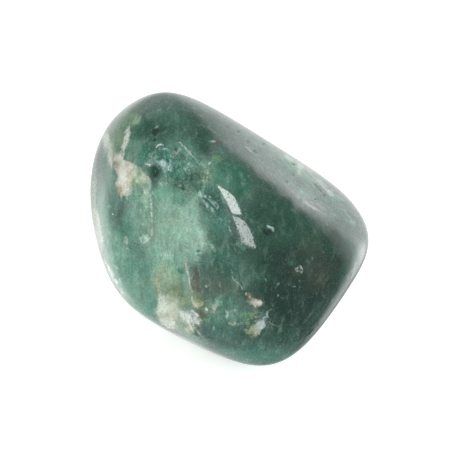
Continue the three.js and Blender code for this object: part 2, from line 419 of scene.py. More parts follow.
# The shape of a stroke: width, strength, softness of the edge, and its points.
STROKES = (
    # The lobe and the curved ledge.
    ("cream streak", "milk",
     (6, 0.75, 4, (128.4, 129), (127.4, 136), (125.4, 143), (123.2, 150)),
     (5, 0.55, 4, (123, 150), (122.6, 158), (124, 165))),
    ("cream fringe", "cream",
     (1.6, 0.6, 1.4, (121.6, 193), (121.2, 197), (121.4, 201)),
     (1.8, 0.65, 1.4, (126.6, 192), (127, 196), (127.6, 200))),
    ("cream fringe", "shell", (1.6, 0.5, 1.4, (130.4, 188), (131, 192), (131, 195))),
    ("antler", "pale_moss",
     (1.2, 0.5, 1.6, (133.6, 124), (136.2, 119.6), (136.8, 114.6)),
     (1.2, 0.5, 1.6, (136.2, 122.8), (139.4, 119.4), (141.6, 115))),
    # The ledge shade is a painted shadow beside the step, over a shallow groove. The ledge rim is partly a
    # painted highlight along the step's edge.
    ("ledge shade", "night",
     (1.6, 0.6, 1.6, (138, 166.5), (143, 171), (146.5, 176), (151.5, 181)),
     (1.8, 0.6, 2, (152.6, 186), (153.4, 200), (154.2, 212), (154, 224)),
     (2, 0.5, 2, (154, 224), (153.6, 234), (151, 239.5), (147.5, 243))),
    ("ledge rim", "pale_moss",
     (1.4, 0.6, 1.4, (133, 163.5), (140, 168), (144, 174.5), (150, 181), (150.3, 190))),
    ("ledge rim", "milk",
     (1, 0.35, 1, (150.6, 191), (151.4, 203), (151.8, 217)),
     (1.5, 0.75, 0.8, (150.2, 199.6), (151.6, 200)), (1.5, 0.75, 0.8, (150.4, 203.4), (151.8, 203.8)),
     (1.6, 0.75, 0.8, (150.8, 207.4), (152.2, 208)), (1, 0.5, 1, (152.3, 219), (152.5, 229)),
     (1.6, 0.7, 1.2, (151.8, 230), (151.2, 236)),
     (1.2, 0.6, 1.2, (150, 237.5), (146.5, 241.5), (143, 243.5), (140.5, 242))),
    ("ledge bead", "cream",
     (1.3, 0.8, 0.8, (150, 195.8), (151, 196.4)), (1.8, 0.9, 1, (151.2, 211.6), (151.8, 216.4))),
    ("white by ledge", "ice", (1.8, 0.85, 1.2, (152.6, 191.5), (153.6, 195.5))),
    # The crown and its crystals.
    ("sloping vein", "vein",
     (1.5, 0.9, 1.2, (176.6, 142.3), (180, 142.6), (184.5, 147), (190, 153.4), (195.6, 159.6))),
    ("crystal white", "bone",
     (1.8, 0.75, 1.2, (156.6, 146.2), (159.6, 144.4), (163.4, 145.2)),
     (1.4, 0.7, 1.1, (156.2, 148), (157.4, 146.2)),
     (1.5, 0.8, 1.2, (144.5, 163.8), (148.5, 164.6), (151, 165.2))),
    ("crystal ice", "ice",
     (1.9, 0.85, 1.4, (162.5, 149), (166, 148.6), (169.6, 150)),
     (1.6, 0.4, 1.6, (156.5, 161), (159.5, 163.5), (163, 166.5)),
     (1.6, 0.8, 1.2, (161, 161.6), (162.5, 163)),
     (1.8, 0.7, 1.4, (163.5, 168), (164.6, 172.5), (166, 177)),
     (1.2, 0.4, 1.4, (147, 151), (150, 148.6), (155, 147.6))),
    ("facet line", "night",
     (1.1, 0.7, 1.2, (158, 151.6), (161, 154), (163, 157.4)),
     (1.1, 0.55, 1.2, (169, 160.5), (173, 164), (177, 167.6))),
    ("crystal edge", "pine", (1.4, 0.5, 1.6, (143.5, 152), (147.5, 148.4), (152, 145.6))),
    ("ice glint", "ice",
     (2.4, 0.35, 2.4, (195.6, 160), (200, 165)),
     (1.6, 0.45, 1.6, (155, 127.6), (159, 125.4), (163.5, 123.6)),
     (1.2, 0.25, 1.4, (172, 126), (176, 125.2), (180, 126.4)),
     (1, 0.4, 1.2, (168, 158.8), (172.6, 161.8), (176, 165)),
     (1.8, 0.45, 1.8, (182, 167), (185.4, 170.4)), (1.3, 0.6, 1.2, (211, 141.2), (215, 141.3))),
    ("olive glint", "vein", (1.2, 0.3, 1.6, (181, 145), (180, 149), (177.5, 154))),
    ("dark spine", "pine", (2, 0.5, 2, (179, 179.5), (184, 181), (188, 178.6))),
    ("shell streak", "shell", (1.5, 0.45, 1.8, (209.6, 162.6), (208.4, 168), (207, 173))),
    # The crystal fan and the ridge beside the window's reflection.
    ("fan head", "pale_mint",
     (2, 0.6, 1.6, (199.5, 190.5), (200.2, 194), (202, 197)),
     (1.6, 0.7, 1.2, (204.4, 194.8), (205.8, 197.6)), (1.3, 0.75, 1.1, (208.6, 195.4), (210.8, 197.4))),
    ("fan crystal", "ice",
     (0.9, 0.75, 0.9, (212.4, 204.6), (215.4, 201.6)),
     (0.9, 0.8, 0.9, (215.6, 201.6), (218.8, 206.4), (217.2, 208.6)),
     (0.9, 0.6, 0.9, (217, 208.6), (213.4, 205.4)),
     (1.2, 0.6, 1.2, (208.2, 198.8), (210.6, 201.4), (213, 203.4)),
     (1.6, 0.45, 1.5, (202.2, 199.4), (204.2, 202)), (1.4, 0.45, 1.4, (206, 203), (207.4, 206)),
     (1.2, 0.55, 1.2, (210.6, 208), (213, 212)), (1.2, 0.5, 1.2, (213.4, 212), (215.6, 216)),
     (1.2, 0.45, 1.3, (217, 215.4), (219.4, 219))),
    ("fan shade", "night",
     (1.1, 0.7, 1.1, (203, 196.8), (207.4, 201.4), (212, 205.6), (216.4, 209.8)),
     (1.1, 0.45, 1.3, (221, 209), (224, 212.6), (227.4, 216.6)),
     (1.2, 0.6, 1.3, (211.4, 193), (212, 196), (215.4, 200.2), (219.8, 206))),
    ("fan dot", "bone", (1.1, 0.8, 1, (206.8, 206.6), (207.4, 207.6))),
    ("ridge glint", "ice",
     (1.6, 0.4, 1.4, (220, 217.6), (221.6, 221)), (1.6, 0.7, 1.2, (229, 220.4), (229.4, 223)),
     (1.4, 0.75, 1.2, (228.4, 225.4), (229.4, 229), (231, 232))),
    ("ridge shade", "night", (1.4, 0.5, 1.3, (231.4, 221), (231.6, 226), (232.8, 232))),
    ("hook", "ice", (2.1, 0.95, 1.3, (266.4, 225.3), (269.6, 226.8), (272.6, 228), (272.6, 230.8))),
    ("dark spine right", "ink", (1.4, 0.5, 1.6, (263, 230), (266, 233), (268, 234.6))),
    ("leaf", "teal",
     (1.4, 0.7, 1.4, (266.4, 260), (269, 258), (272.4, 255)),
     (1.5, 0.5, 1.8, (256, 272.6), (256.8, 278.6), (262, 280), (268.6, 277))),
    # The lower middle.
    ("crack pale", "mint", (2, 0.5, 1.6, (230.8, 268), (231.6, 271.6))),
    ("crack", "ice",
     (1.3, 0.75, 1.2, (231, 275.5), (234.4, 280.6), (238.6, 283.4), (241.4, 286.4), (242.8, 290.6))),
    ("crack shade", "night", (1, 0.4, 1.2, (232.8, 276), (236.8, 281), (240.6, 283.4), (243, 286))),
    ("crack end", "milk", (1.3, 0.7, 1.2, (246.4, 292.6), (246.2, 295))),
    ("shell tail", "milk", (1.3, 0.5, 1.4, (258, 304.4), (262, 302.6), (265.4, 301))),
    ("shell dot", "bone",
     (1.1, 0.7, 1, (254.2, 300.4), (255.2, 301.4)), (1.1, 0.7, 1, (256.8, 302.6), (257.8, 302)),
     (1, 0.7, 1, (259.6, 301.2), (260.6, 301.8)), (1.2, 0.8, 1.1, (254.6, 305.8), (255.6, 307.4))),
    ("shell head", "tan", (2, 0.3, 2.4, (249, 296), (252, 298.6), (255, 300))),
    ("tuft white", "pale_moss", (1.1, 0.6, 1.1, (255.4, 316.6), (256.6, 317.2))),
    ("tuft white", "ice",
     (1.2, 0.5, 1.2, (263, 311.6), (260.5, 313.4)),
     (1.4, 0.5, 1.4, (262.6, 317.6), (266, 316.4), (269, 317.4))),
    ("tuft shade", "night", (1.5, 0.5, 1.8, (250, 311), (256, 309.6), (262, 310), (268, 307.6))),
    ("fold shade", "ink", (1.3, 0.75, 1.2, (251.6, 323.6), (256, 319.8), (261.6, 317.2), (266, 313))),
    ("fold white", "pale_moss", (1, 0.7, 1, (254.8, 321.6), (256, 320.6))),
    ("spark", "moss",
     (1.2, 0.5, 1.2, (270, 306.6), (274, 303), (277.6, 302)), (1, 0.5, 1.2, (274, 309), (277, 307.4))),
    ("spark", "ice",
     (1, 0.45, 1.2, (271, 301), (275, 298.4)), (1.3, 0.5, 1.4, (272, 305.2), (276.4, 307)),
     (1, 0.4, 1.2, (270.4, 308), (272.4, 310.6)), (1, 0.5, 1.2, (269, 310.5), (271.5, 309))),
    ("spark shade", "night", (1.2, 0.5, 1.2, (271, 303.6), (279.6, 304.4))),
    ("short white line", "mist",
     (1.5, 0.5, 1.4, (268.4, 321.8), (272, 324), (276, 325.8), (279, 327.4))),
    # The dark right half and the lower rim.
    ("cluster rib", "milk",
     (1, 0.5, 1, (295, 269.6), (298, 268)), (1, 0.45, 1, (297, 272), (298.6, 270.6)),
     (1, 0.55, 1, (300.6, 265.6), (301.6, 268), (303.6, 269.4)),
     (1, 0.45, 1, (299.6, 271.6), (304, 271.8)), (1, 0.4, 1, (300.8, 272), (301.4, 274.8))),
    ("seed rib", "fir",
     (1.6, 0.7, 1.6, (287.6, 284.4), (292, 284.8)), (1.6, 0.7, 1.8, (291, 262), (292.4, 266))),
    ("seed rib", "ice",
     (1.6, 0.4, 1.6, (276.8, 285.6), (274.4, 289.4)), (1, 0.6, 1, (287.2, 282), (288, 283)),
     (1.2, 0.45, 1.4, (295.6, 281.6), (299, 281), (303, 280.4)),
     (1.1, 0.45, 1.2, (299, 287.2), (302.6, 287.6))),
    ("seed rib", "teal",
     (1.5, 0.5, 1.6, (311.4, 267.4), (312.2, 273)), (1.6, 0.4, 1.8, (308, 262), (309.4, 264))),
    ("seed rib", "slate", (1.8, 0.6, 1.8, (303, 300), (303.4, 304.6), (301, 308))),
    ("long crack", "night",
     (1.8, 0.55, 2.2, (284, 334.5), (289, 339), (294, 337.4), (298, 337), (303, 337.6), (308, 333)),
     (2.2, 0.4, 2.6, (308, 333), (312, 329.4), (318, 325)),
     (1.6, 0.45, 2, (292, 330.6), (297, 330.4), (301, 328))),
    ("belt glint", "sea", (1.6, 0.7, 1.6, (257, 344.6), (260.4, 347.6), (264, 349))),
    ("belt glint", "slate",
     (1.8, 0.5, 2, (277, 342.6), (272, 346), (266, 348.6)),
     (2.4, 0.5, 2.4, (289, 346.4), (284, 348.8))),
    # A painted highlight on the right tip of the stone.
    ("tip glint", "bone", (3.2, 0.4, 4, (350.6, 281), (353.4, 272.4), (356, 265), (358, 257))),
    # The seam, the chip and the foot.
    ("seam pale", "milk", (2.2, 0.75, 1.6, (185.6, 262), (187.2, 272), (189.6, 281), (191.2, 291))),
    ("seam head", "olive", (3, 0.5, 2.6, (185, 258), (187, 264), (188, 269))),
    ("seam blue", "ice", (1.5, 0.8, 1.3, (192, 290.6), (192.8, 293.6))),
    ("seam foot", "cream", (2.2, 0.5, 2, (191, 296), (193, 303), (196, 307))),
    ("chip edge", "bone",
     (1.5, 0.95, 1.1, (191.4, 309.6), (194.6, 312.6), (198.6, 316.6)),
     (1.8, 0.75, 1.5, (185, 313.6), (188, 320), (191.4, 327.4), (193.6, 332.4)),
     (1.6, 0.6, 1.5, (188.6, 315), (192, 322), (194, 327))),
    ("chip edge", "shell", (1.5, 0.5, 1.5, (199, 317.6), (202, 322), (203.6, 326))),
    ("foot line", "cream", (1.3, 0.5, 1.3, (197.6, 331.6), (202.4, 337.6), (207.6, 344))),
    ("foot shade", "slate", (1.8, 0.6, 1.8, (200, 330.6), (205, 337), (210, 344))),
    # The left side.
    ("left rib", "mint",
     (2.4, 0.5, 2.6, (105, 226), (106.4, 236), (110, 248), (113.6, 255)),
     (2, 0.5, 2.2, (106, 250), (112, 262), (119, 269), (122, 272))),
    ("left rib", "pale_mint",
     (2.2, 0.5, 2, (112.6, 264), (118, 270)), (3, 0.5, 2.4, (114.6, 279), (117, 283)),
     (2.8, 0.5, 2.4, (119.4, 277), (120.8, 285)), (2.4, 0.4, 2.2, (121, 288), (123.6, 293))),
    ("left dot", "bone", (1.3, 0.9, 1.1, (112.5, 213.4), (112.6, 214.8))),
    ("fleck", "milk",
     (1.4, 0.5, 1.4, (125.4, 248), (128.6, 249.4)), (1.6, 0.4, 1.4, (136.4, 180.4), (138, 182)),
     (1.4, 0.4, 1.4, (144, 190), (146, 194)), (1.4, 0.4, 1.4, (148, 176), (149.4, 180))),
    ("fleck", "ice",
     (1.2, 0.6, 1.1, (132, 242), (132.6, 243.4)), (3, 0.35, 2.4, (115.6, 238), (118, 244))),
    ("fleck", "cream", (2.4, 0.4, 2, (110.6, 231), (113, 236))),
    ("fleck", "olive", (1.6, 0.6, 1.4, (140, 184), (143, 186))),
    ("left slate rib", "slate", (6, 0.5, 5, (104.6, 170), (106, 184), (110, 200))),
    # The upper flank.
    ("flank streak", "mist",
     (2.4, 0.7, 2.6, (284, 153.6), (288.6, 159), (293, 162)),
     (6, 0.55, 5, (314.6, 178.6), (320.6, 183), (326, 188.4), (333, 195.6)),
     (3.4, 0.7, 3, (303, 200.6), (309, 205), (315.4, 208.8), (319.4, 211.4)),
     (2.2, 0.6, 2.2, (245, 145.6), (248.6, 149), (251.6, 152))),
    ("flank shade", "moss", (2.4, 0.6, 2.2, (285, 160.6), (288.6, 164.4), (292.4, 168.4))),
    ("flank shade", "fir", (2.6, 0.7, 2.2, (313.6, 183.6), (317.6, 187.6), (321.4, 191))),
    ("flank streak", "ice", (2.2, 0.35, 2.4, (305, 171), (309, 176), (314, 180))),
    ("flank streak", "fir",
     (1.8, 0.6, 1.8, (304.6, 170), (309, 174)), (1.6, 0.35, 2, (296, 176), (304, 179), (310, 183))),
    ("flank dot", "bone", (1.2, 0.6, 1.2, (361, 229), (361.4, 231.6))),
)

# How strongly the grain shows: name, middle x and y, half width and half height, turn, amount, and
# softness of the edge. Elsewhere it has its usual amount.
GRAIN = (
    ("moss and cream", 122, 165, 26, 50, 10, 0.5, 24),
    ("crystals", 168, 165, 30, 22, 20, 0.85, 14),
    ("granular middle", 192, 178, 18, 24, 0, 0.9, 12),
    ("crystal fan", 212, 204, 14, 14, 0, 0.9, 10),
    ("mint field", 178, 235, 34, 44, 0, 0.6, 20),
    ("granular slope", 206, 258, 12, 12, 0, 0.8, 10),
    ("moss middle", 236, 312, 40, 26, 0, 0.55, 16),
    ("left field", 126, 232, 22, 40, 0, 0.6, 16),
    ("dark right", 300, 250, 56, 76, 0, 0.2, 24),
    ("upper flank", 310, 185, 60, 16, 37, 0.7, 10),
)
USUAL_GRAIN = 0.4

# The patches that lie below the polished skin and the strokes that are grooves in it, with their depths
# in millimetres. Neither took a polish, but what stands proud did.
DENTS = {
    "chip": 0.10,
    "chip shade": 0.08,
    "chip hole": 0.06,
    "shell crystal": 0.03,
    "ice heart": 0.03,
    "cream body": 0.03,
    "white cluster": 0.02,
    "flank pit": 0.04,
}
GROOVES = {
    "ledge shade": 0.04,
    "chip edge": 0.04,
    "crack": 0.06,
    "crack shade": 0.05,
    "sloping vein": -0.02,
    "long crack": 0.04,
    "flank shade": 0.03,
    "foot line": 0.04,
}

# The curved step: from its upper left end the stone is lower on the right of this line. In pixels, half
# the width of its edge, how far off the stone is level again, and how ragged it is. The step fades in
# and out over these shares of the line.
LEDGE = (
    (130, 163), (141, 168), (148, 178), (151, 190), (152.5, 210), (153, 228), (150, 238), (143, 243),
)
LEDGE_EDGE = 0.8
LEDGE_REACH = 14
LEDGE_RAGGED = 1.5
LEDGE_ENDS = (0.25, 0.15)

# A stroke narrows to this share of its width, over this share of its length at each end.
TIP_WIDTH = 0.45
TIP_LENGTH = 0.15

# Markings and relief end where the skin turns away from the camera: there is nothing of them at the
# first cosine of the angle between the two, and all of them at the second.
PAINTED = (-0.05, 0.15)
CARVED = (0.05, 0.25)

# Relief and colour spread this many pixels further than the cover of a marking, so that its ragged edge
# keeps them.
DENT_SPREAD = 1
GROOVE_SPREAD = 0.6
PATCH_BLEED = 3
STROKE_BLEED = 1.5

# The edges of the markings wander by this share of their softness. Those softer than this follow a
# broad drift, and the others a fine ripple. The waves of the skin are broader still.
STRAY = 0.3
SOFT_EDGE = 7
DRIFT_CELL = 1.8 * MM
RIPPLE_CELL = 0.5 * MM
WAVE_CELL = 4 * MM
DRIFT_SEED = 3

# The waves left by tumbling are this much weaker round the window's reflections, which are crisp.
CALM = 0.75
CALM_SHAPE = (236, 215, 24, 40, -30)
CALM_SOFTNESS = 16

# The skin within about this many pixels sets the direction that is mirrored at a pixel.
MIRROR_SPREAD = 0.8

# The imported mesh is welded, and then ironed before and after its seen side is cut finer. Each pass moves
# the vertices inwards by the first share and outwards by the second, which keeps the stone its size.
FIRST_PASSES = 10
LAST_PASSES = 12
IRONING = (0.5, -0.52)
WELD = 0.001 * MM


# Geometry of the stone


def markings(table):
    """Each shape of a table in the order of painting, after the name and the colour of its marking."""
    for name, colour, *shapes in table:
        for shape in shapes:
            yield name, colour, *shape


def smoothstep(low, high, value):
    share = np.clip((value - low) / (high - low), 0.0, 1.0)
    return share * share * (3 - 2 * share)


def patch_cover(x, y, middle_x, middle_y, half_width, half_height, turn, soft):
    """How much of a patch covers each point: 1 inside, 0 outside, and a soft edge."""
    angle = math.radians(turn)
    along = (x - middle_x) * math.cos(angle) + (y - middle_y) * math.sin(angle)
    across = (y - middle_y) * math.cos(angle) - (x - middle_x) * math.sin(angle)
    reach = np.hypot(along / half_width, across / half_height)
    outside = (reach - 1) * min(half_width, half_height)
    return smoothstep(soft / 2, -soft / 2, outside)


def line_reach(x, y, points):
    """Each point's distance from a bent line, its side of the line and how far along the line it is."""
    reach = np.full(len(x), np.inf)
    side = np.zeros(len(x))
    along = np.zeros(len(x))
    lengths = [math.dist(start, end) for start, end in zip(points, points[1:])]
    passed = 0.0
    for start, end, length in zip(points, points[1:], lengths):
        step_x, step_y = (end[0] - start[0]) / length, (end[1] - start[1]) / length
        to_x, to_y = x - start[0], y - start[1]
        share = np.clip(to_x * step_x + to_y * step_y, 0.0, length)
        away = np.hypot(to_x - share * step_x, to_y - share * step_y)
        nearer = away < reach
        reach[nearer] = away[nearer]
        side[nearer] = np.sign(to_y * step_x - to_x * step_y)[nearer]
        along[nearer] = ((passed + share) / sum(lengths))[nearer]
        passed += length
    return reach, side, along


def between(along, start, end):
    """A rise over the first share of a line, and a fall over the last."""
    return smoothstep(0.0, start, along) * smoothstep(1.0, 1 - end, along)


def stroke_cover(x, y, points, width, soft):
    """How much of a stroke covers each point. Its ends taper."""
    reach, _, along = line_reach(x, y, points)
    taper = between(along, TIP_LENGTH, TIP_LENGTH)
    half = width / 2 * (TIP_WIDTH + (1 - TIP_WIDTH) * taper)
    return smoothstep(soft / 2, -soft / 2, reach - half)


def wobble(points, cell):
    """Smooth random numbers between about -1 and 1, three for each point."""
    return np.array([noise.noise_vector(Vector(point) / cell) for point in points])


class View:
    """The vertices of the stone as the photograph sees them."""

    def __init__(self, mesh):
        self.points = self.read(mesh, "co")
        self.normals = self.read(mesh, "normal")
        self.facing = self.normals @ BACK
        self.x, self.y = photo_pixels(self.points)

    def read(self, mesh, name):
        values = np.empty(len(mesh.vertices) * 3)
        mesh.vertices.foreach_get(name, values)
        return values.reshape(-1, 3)

    def mirrored(self, x, y, distance):
        """The point, this far away, that the polish mirrors to the camera at a pixel."""
        nearness = np.exp(-((self.x - x) ** 2 + (self.y - y) ** 2) / (2 * MIRROR_SPREAD**2))
        nearness *= self.facing > 0
        normal = nearness @ self.normals
        normal /= np.linalg.norm(normal)
        point = nearness @ self.points / nearness.sum()
        ray = point - camera_point()
        ray /= np.linalg.norm(ray)
        return Vector(point + distance * (ray - 2 * (ray @ normal) * normal))


class Canvas(View):
    """The same vertices with the random drift that makes the edges of the markings ragged."""

    def __init__(self, mesh):
        super().__init__(mesh)
        self.drift = wobble(self.points, DRIFT_CELL)
        self.ripple = wobble(self.points, RIPPLE_CELL)

    def strayed(self, soft):
        """Pixels moved a little at random, so that an edge of this softness is ragged."""
        way = self.drift if soft > SOFT_EDGE else self.ripple
        return self.x + way[:, 0] * soft * STRAY, self.y + way[:, 1] * soft * STRAY

    def patch(self, *shape, soft):
        return patch_cover(*self.strayed(soft), *shape, soft)

    def stroke(self, points, width, soft):
        return stroke_cover(*self.strayed(soft), points, width, soft)


def smooth(bm, passes):
    """Irons out facets."""
    for _ in range(passes):
        for factor in IRONING:
            bmesh.ops.smooth_vert(
                bm, verts=bm.verts, factor=factor, use_axis_x=True, use_axis_y=True, use_axis_z=True
            )


def refined_stone(settings):
    """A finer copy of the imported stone, with the facets of its coarse mesh smoothed away."""
    bm = bmesh.new()
    bm.from_mesh(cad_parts[STONE_NODE].data)
    bmesh.ops.remove_doubles(bm, verts=bm.verts, dist=WELD)
    if settings.coarse_cuts:
        bmesh.ops.subdivide_edges(bm, edges=bm.edges, cuts=settings.coarse_cuts, use_grid_fill=True)
    smooth(bm, FIRST_PASSES)
    bm.normal_update()
    back = Vector(BACK)
    seen = {face for face in bm.faces if face.normal @ back > PAINTED[0]}
    seen_edges = [edge for edge in bm.edges if any(face in seen for face in edge.link_faces)]
    if settings.fine_cuts:
        bmesh.ops.subdivide_edges(bm, edges=seen_edges, cuts=settings.fine_cuts, use_grid_fill=True)
    bmesh.ops.triangulate(bm, faces=bm.faces)
    smooth(bm, LAST_PASSES)
    for face in bm.faces:
        face.smooth = True
    return bm


def family(table, name):
    """The value of the entry that a marking's name starts with, or None."""
    matches = [key for key in table if name.startswith(key)]
    return table[max(matches, key=len)] if matches else None


def carve_stone(mesh, settings):
    """Sinks the ledge, the hollows and the cracks into the skin, and gives how dull each vertex is."""
    canvas = Canvas(mesh)
    seen = smoothstep(*CARVED, canvas.facing)
    depth = np.zeros(len(mesh.vertices))
    dull = np.zeros(len(mesh.vertices))
    for name, _, *shape, strength, soft in markings(PATCHES):
        dent = family(DENTS, name)
        if dent is not None:
            cover = canvas.patch(*shape, soft=soft + DENT_SPREAD) * seen
            depth += cover * dent * MM
            dull = np.maximum(dull, cover * strength)
    for name, _, width, strength, soft, *line in markings(STROKES):
        groove = family(GROOVES, name)
        if groove is not None:
            cover = canvas.stroke(line, width, soft + GROOVE_SPREAD) * seen
            depth += cover * groove * MM
            if groove > 0:
                dull = np.maximum(dull, cover * strength)
    reach, side, along = line_reach(*canvas.strayed(LEDGE_RAGGED), LEDGE)
    right = np.where(side < 0, reach, -reach)
    step = smoothstep(-LEDGE_EDGE, LEDGE_EDGE, right) * smoothstep(LEDGE_REACH, 0, right)
    depth += settings.ledge_depth * step * between(along, *LEDGE_ENDS) * seen
    calm = 1 - CALM * canvas.patch(*CALM_SHAPE, soft=CALM_SOFTNESS)
    depth += settings.wave_depth * wobble(canvas.points, WAVE_CELL)[:, 2] * calm
    points = canvas.points - canvas.normals * depth[:, None]
    points[:, 2] = np.maximum(points[:, 2], 0.0)
    mesh.vertices.foreach_set("co", points.ravel())
    mesh.update()
    return dull


def add_colour(mesh, name, values):
    attribute = mesh.attributes.new(name, "FLOAT_COLOR", "POINT")
    alpha = np.ones((len(values), 1))
    attribute.data.foreach_set("color", np.hstack((values, alpha)).astype(np.float32).ravel())


def add_value(mesh, name, values):
    attribute = mesh.attributes.new(name, "FLOAT", "POINT")
    attribute.data.foreach_set("value", values.astype(np.float32))


def tinted(base, cover, colour):
    """Colours taken towards one colour, as far as it covers them."""
    return base + cover[:, None] * (np.array(colour) - base)


def paint_stone(mesh, colours):
    """Writes the markings to the mesh, as colours and as amounts at each vertex."""
    canvas = Canvas(mesh)
    count = len(mesh.vertices)
    seen = smoothstep(*PAINTED, canvas.facing)
    body = np.tile(np.array(colours.slate), (count, 1))
    for _, colour, *shape, strength, soft in markings(ZONES):
        body = tinted(body, canvas.patch(*shape, soft=soft) * strength, getattr(colours, colour))
    ink = body
    cover = np.zeros(count)
    for _, colour, *shape, strength, soft in markings(PATCHES):
        ink = tinted(ink, canvas.patch(*shape, soft=soft + PATCH_BLEED), getattr(colours, colour))
        cover += (1 - cover) * canvas.patch(*shape, soft=soft) * strength
    for _, colour, width, strength, soft, *line in markings(STROKES):
        ink = tinted(ink, canvas.stroke(line, width, soft + STROKE_BLEED), getattr(colours, colour))
        cover += (1 - cover) * canvas.stroke(line, width, soft) * strength
    grain = np.full(count, USUAL_GRAIN)
    for _, *shape, amount, soft in GRAIN:
        grain += canvas.patch(*shape, soft=soft) * seen * (amount - grain)
    add_colour(mesh, "body_colour", body)
    add_colour(mesh, "mark_colour", ink)
    add_value(mesh, "mark_cover", cover * seen)
    add_value(mesh, "seen", seen)
    add_value(mesh, "grain", grain)


# Materials

# The stone's cloudy noises: the width of their blobs and the shift of their origin, in millimetres, and
# their detail, roughness and distortion. The shift keeps one noise from repeating another.
NOISES = {
    "islands": (6, (0, 0, 0), 3.0, 0.5, 0.6),
    "tufts": (3, (40, 0, 0), 4.0, 0.6, 1.0),
    "seams": (7, (0, 40, 0), 5.0, 0.55, 0.8),
    "clouds": (1.2, (0, 0, 0), 3.0, 0.55, 0.0),
    "tint": (2.2, (20, 20, 0), 4.0, 0.6, 0.3),
    "wisps": (0.7, (0, 0, 0), 4.0, 0.6, 0.4),
    "flecks": (0.4, (0, 0, 40), 3.0, 0.6, 0.0),
    "fine": (0.35, (0, 0, 20), 3.0, 0.65, 0.0),
    "grit": (0.16, (0, 0, 0), 2.0, 0.6, 0.0),
}
CRYSTAL_CELL = 0.7 * MM

# The wisps are this much longer than wide, and run along the y axis of a frame turned like this.
FIBRE_STRETCH = 2.6
FIBRE_TURN = (math.radians(35), 0.0, math.radians(21))

# Broad clouds tint the body like these filters.
WARM_FILTER = (1.1, 1.0, 0.97)
COOL_FILTER = (0.82, 1.02, 0.98)

# How strongly agate bends light. The height of the skin's grain, how much of it the light picks out, and
# how much is left of it where the skin is polished.
AGATE_IOR = 1.54
SKIN_HEIGHT = 0.02 * MM
SKIN_STRENGTH = 0.3
SKIN_SHOWS = 0.05


class Socket:
    """A number that varies over a surface. Arithmetic on it adds Math nodes."""

    def __init__(self, shader, socket):
        self.shader = shader
        self.socket = socket

    def _math(self, operation, first, second):
        return self.shader.node("ShaderNodeMath", {"operation": operation}, {0: first, 1: second})

    def __add__(self, other):
        return self._math("ADD", self, other)

    def __radd__(self, other):
        return self._math("ADD", other, self)

    def __sub__(self, other):
        return self._math("SUBTRACT", self, other)

    def __rsub__(self, other):
        return self._math("SUBTRACT", other, self)

    def __mul__(self, other):
        return self._math("MULTIPLY", self, other)

    def __rmul__(self, other):
        return self._math("MULTIPLY", other, self)


class Shader:
    """The nodes of a new material or of the world."""

    def __init__(self, owner):
        owner.use_nodes = True
        self.owner = owner
        self.tree = owner.node_tree
        self.tree.nodes.clear()

    def node(self, kind, settings=None, inputs=None, output=0):
        """Adds a node with its settings and its inputs, by name or index, and gives an output."""
        node = self.tree.nodes.new(kind)
        for key, value in (settings or {}).items():
            setattr(node, key, value)
        for key, value in (inputs or {}).items():
            if isinstance(value, Socket):
                self.tree.links.new(value.socket, node.inputs[key])
            else:
                node.inputs[key].default_value = value
        return Socket(self, node.outputs[output]) if len(node.outputs) else None

    def finish(self, surface, kind="ShaderNodeOutputMaterial"):
        """Shows a shader on the surface."""
        self.node(kind, None, {"Surface": surface})
        return self.owner

    def vector(self, operation, first, second, output=0):
        """Vector maths on two places, directions or colours."""
        inputs = {0: first, 1: second}
        return self.node("ShaderNodeVectorMath", {"operation": operation}, inputs, output)

    def blend(self, factor, first, second):
        """A mix of two colours."""
        opaque = [v if isinstance(v, Socket) else (*v, 1.0) for v in (first, second)]
        inputs = {0: factor, 6: opaque[0], 7: opaque[1]}
        return self.node("ShaderNodeMix", {"data_type": "RGBA"}, inputs, output=2)

    def layered(self, colour, *layers):
        """A colour with others laid over it. Each layer has its cover and its colour."""
        for cover, other in layers:
            colour = self.blend(cover, colour, other)
        return colour

    def brighten(self, colour, amount):
        """A colour times an amount."""
        return self.node("ShaderNodeVectorMath", {"operation": "SCALE"}, {0: colour, "Scale": amount})

    def ease(self, value, low, high):
        """0 where the value is below low, 1 above high, and a smooth rise between them."""
        inputs = {"Value": value, "From Min": low, "From Max": high}
        return self.node("ShaderNodeMapRange", {"interpolation_type": "SMOOTHSTEP"}, inputs)

    def noise(self, name, place):
        """One of the stone's noises, from 0 to 1."""
        cell, origin, detail, roughness, distortion = NOISES[name]
        if any(origin):
            place = self.vector("ADD", place, tuple(part * MM for part in origin))
        inputs = {
            "Vector": place,
            "Scale": 1 / (cell * MM),
            "Detail": detail,
            "Roughness": roughness,
            "Distortion": distortion,
        }
        return self.node("ShaderNodeTexNoise", None, inputs)

    def attribute(self, name, output):
        return self.node("ShaderNodeAttribute", {"attribute_name": name}, None, output)


def hidden_marks(shader, place, zone, colours):
    """Islands, dark clouds, tufts and thin veins on the side that the photograph hides."""
    islands = shader.noise("islands", place)
    tufts = shader.noise("tufts", place)
    seams = shader.noise("seams", place)
    vein = shader.ease(seams, 0.485, 0.5) * shader.ease(seams, 0.515, 0.5)
    broken = shader.ease(tufts, 0.45, 0.55)
    return shader.layered(
        zone,
        (shader.ease(islands, 0.48, 0.62) * 0.75, colours.mint),
        (shader.ease(islands, 0.46, 0.36) * 0.6, colours.night),
        (shader.ease(tufts, 0.6, 0.68) * 0.7, colours.moss),
        (shader.ease(tufts, 0.66, 0.7) * 0.85, colours.cream),
        (vein * broken * 0.4, colours.ice),
    )


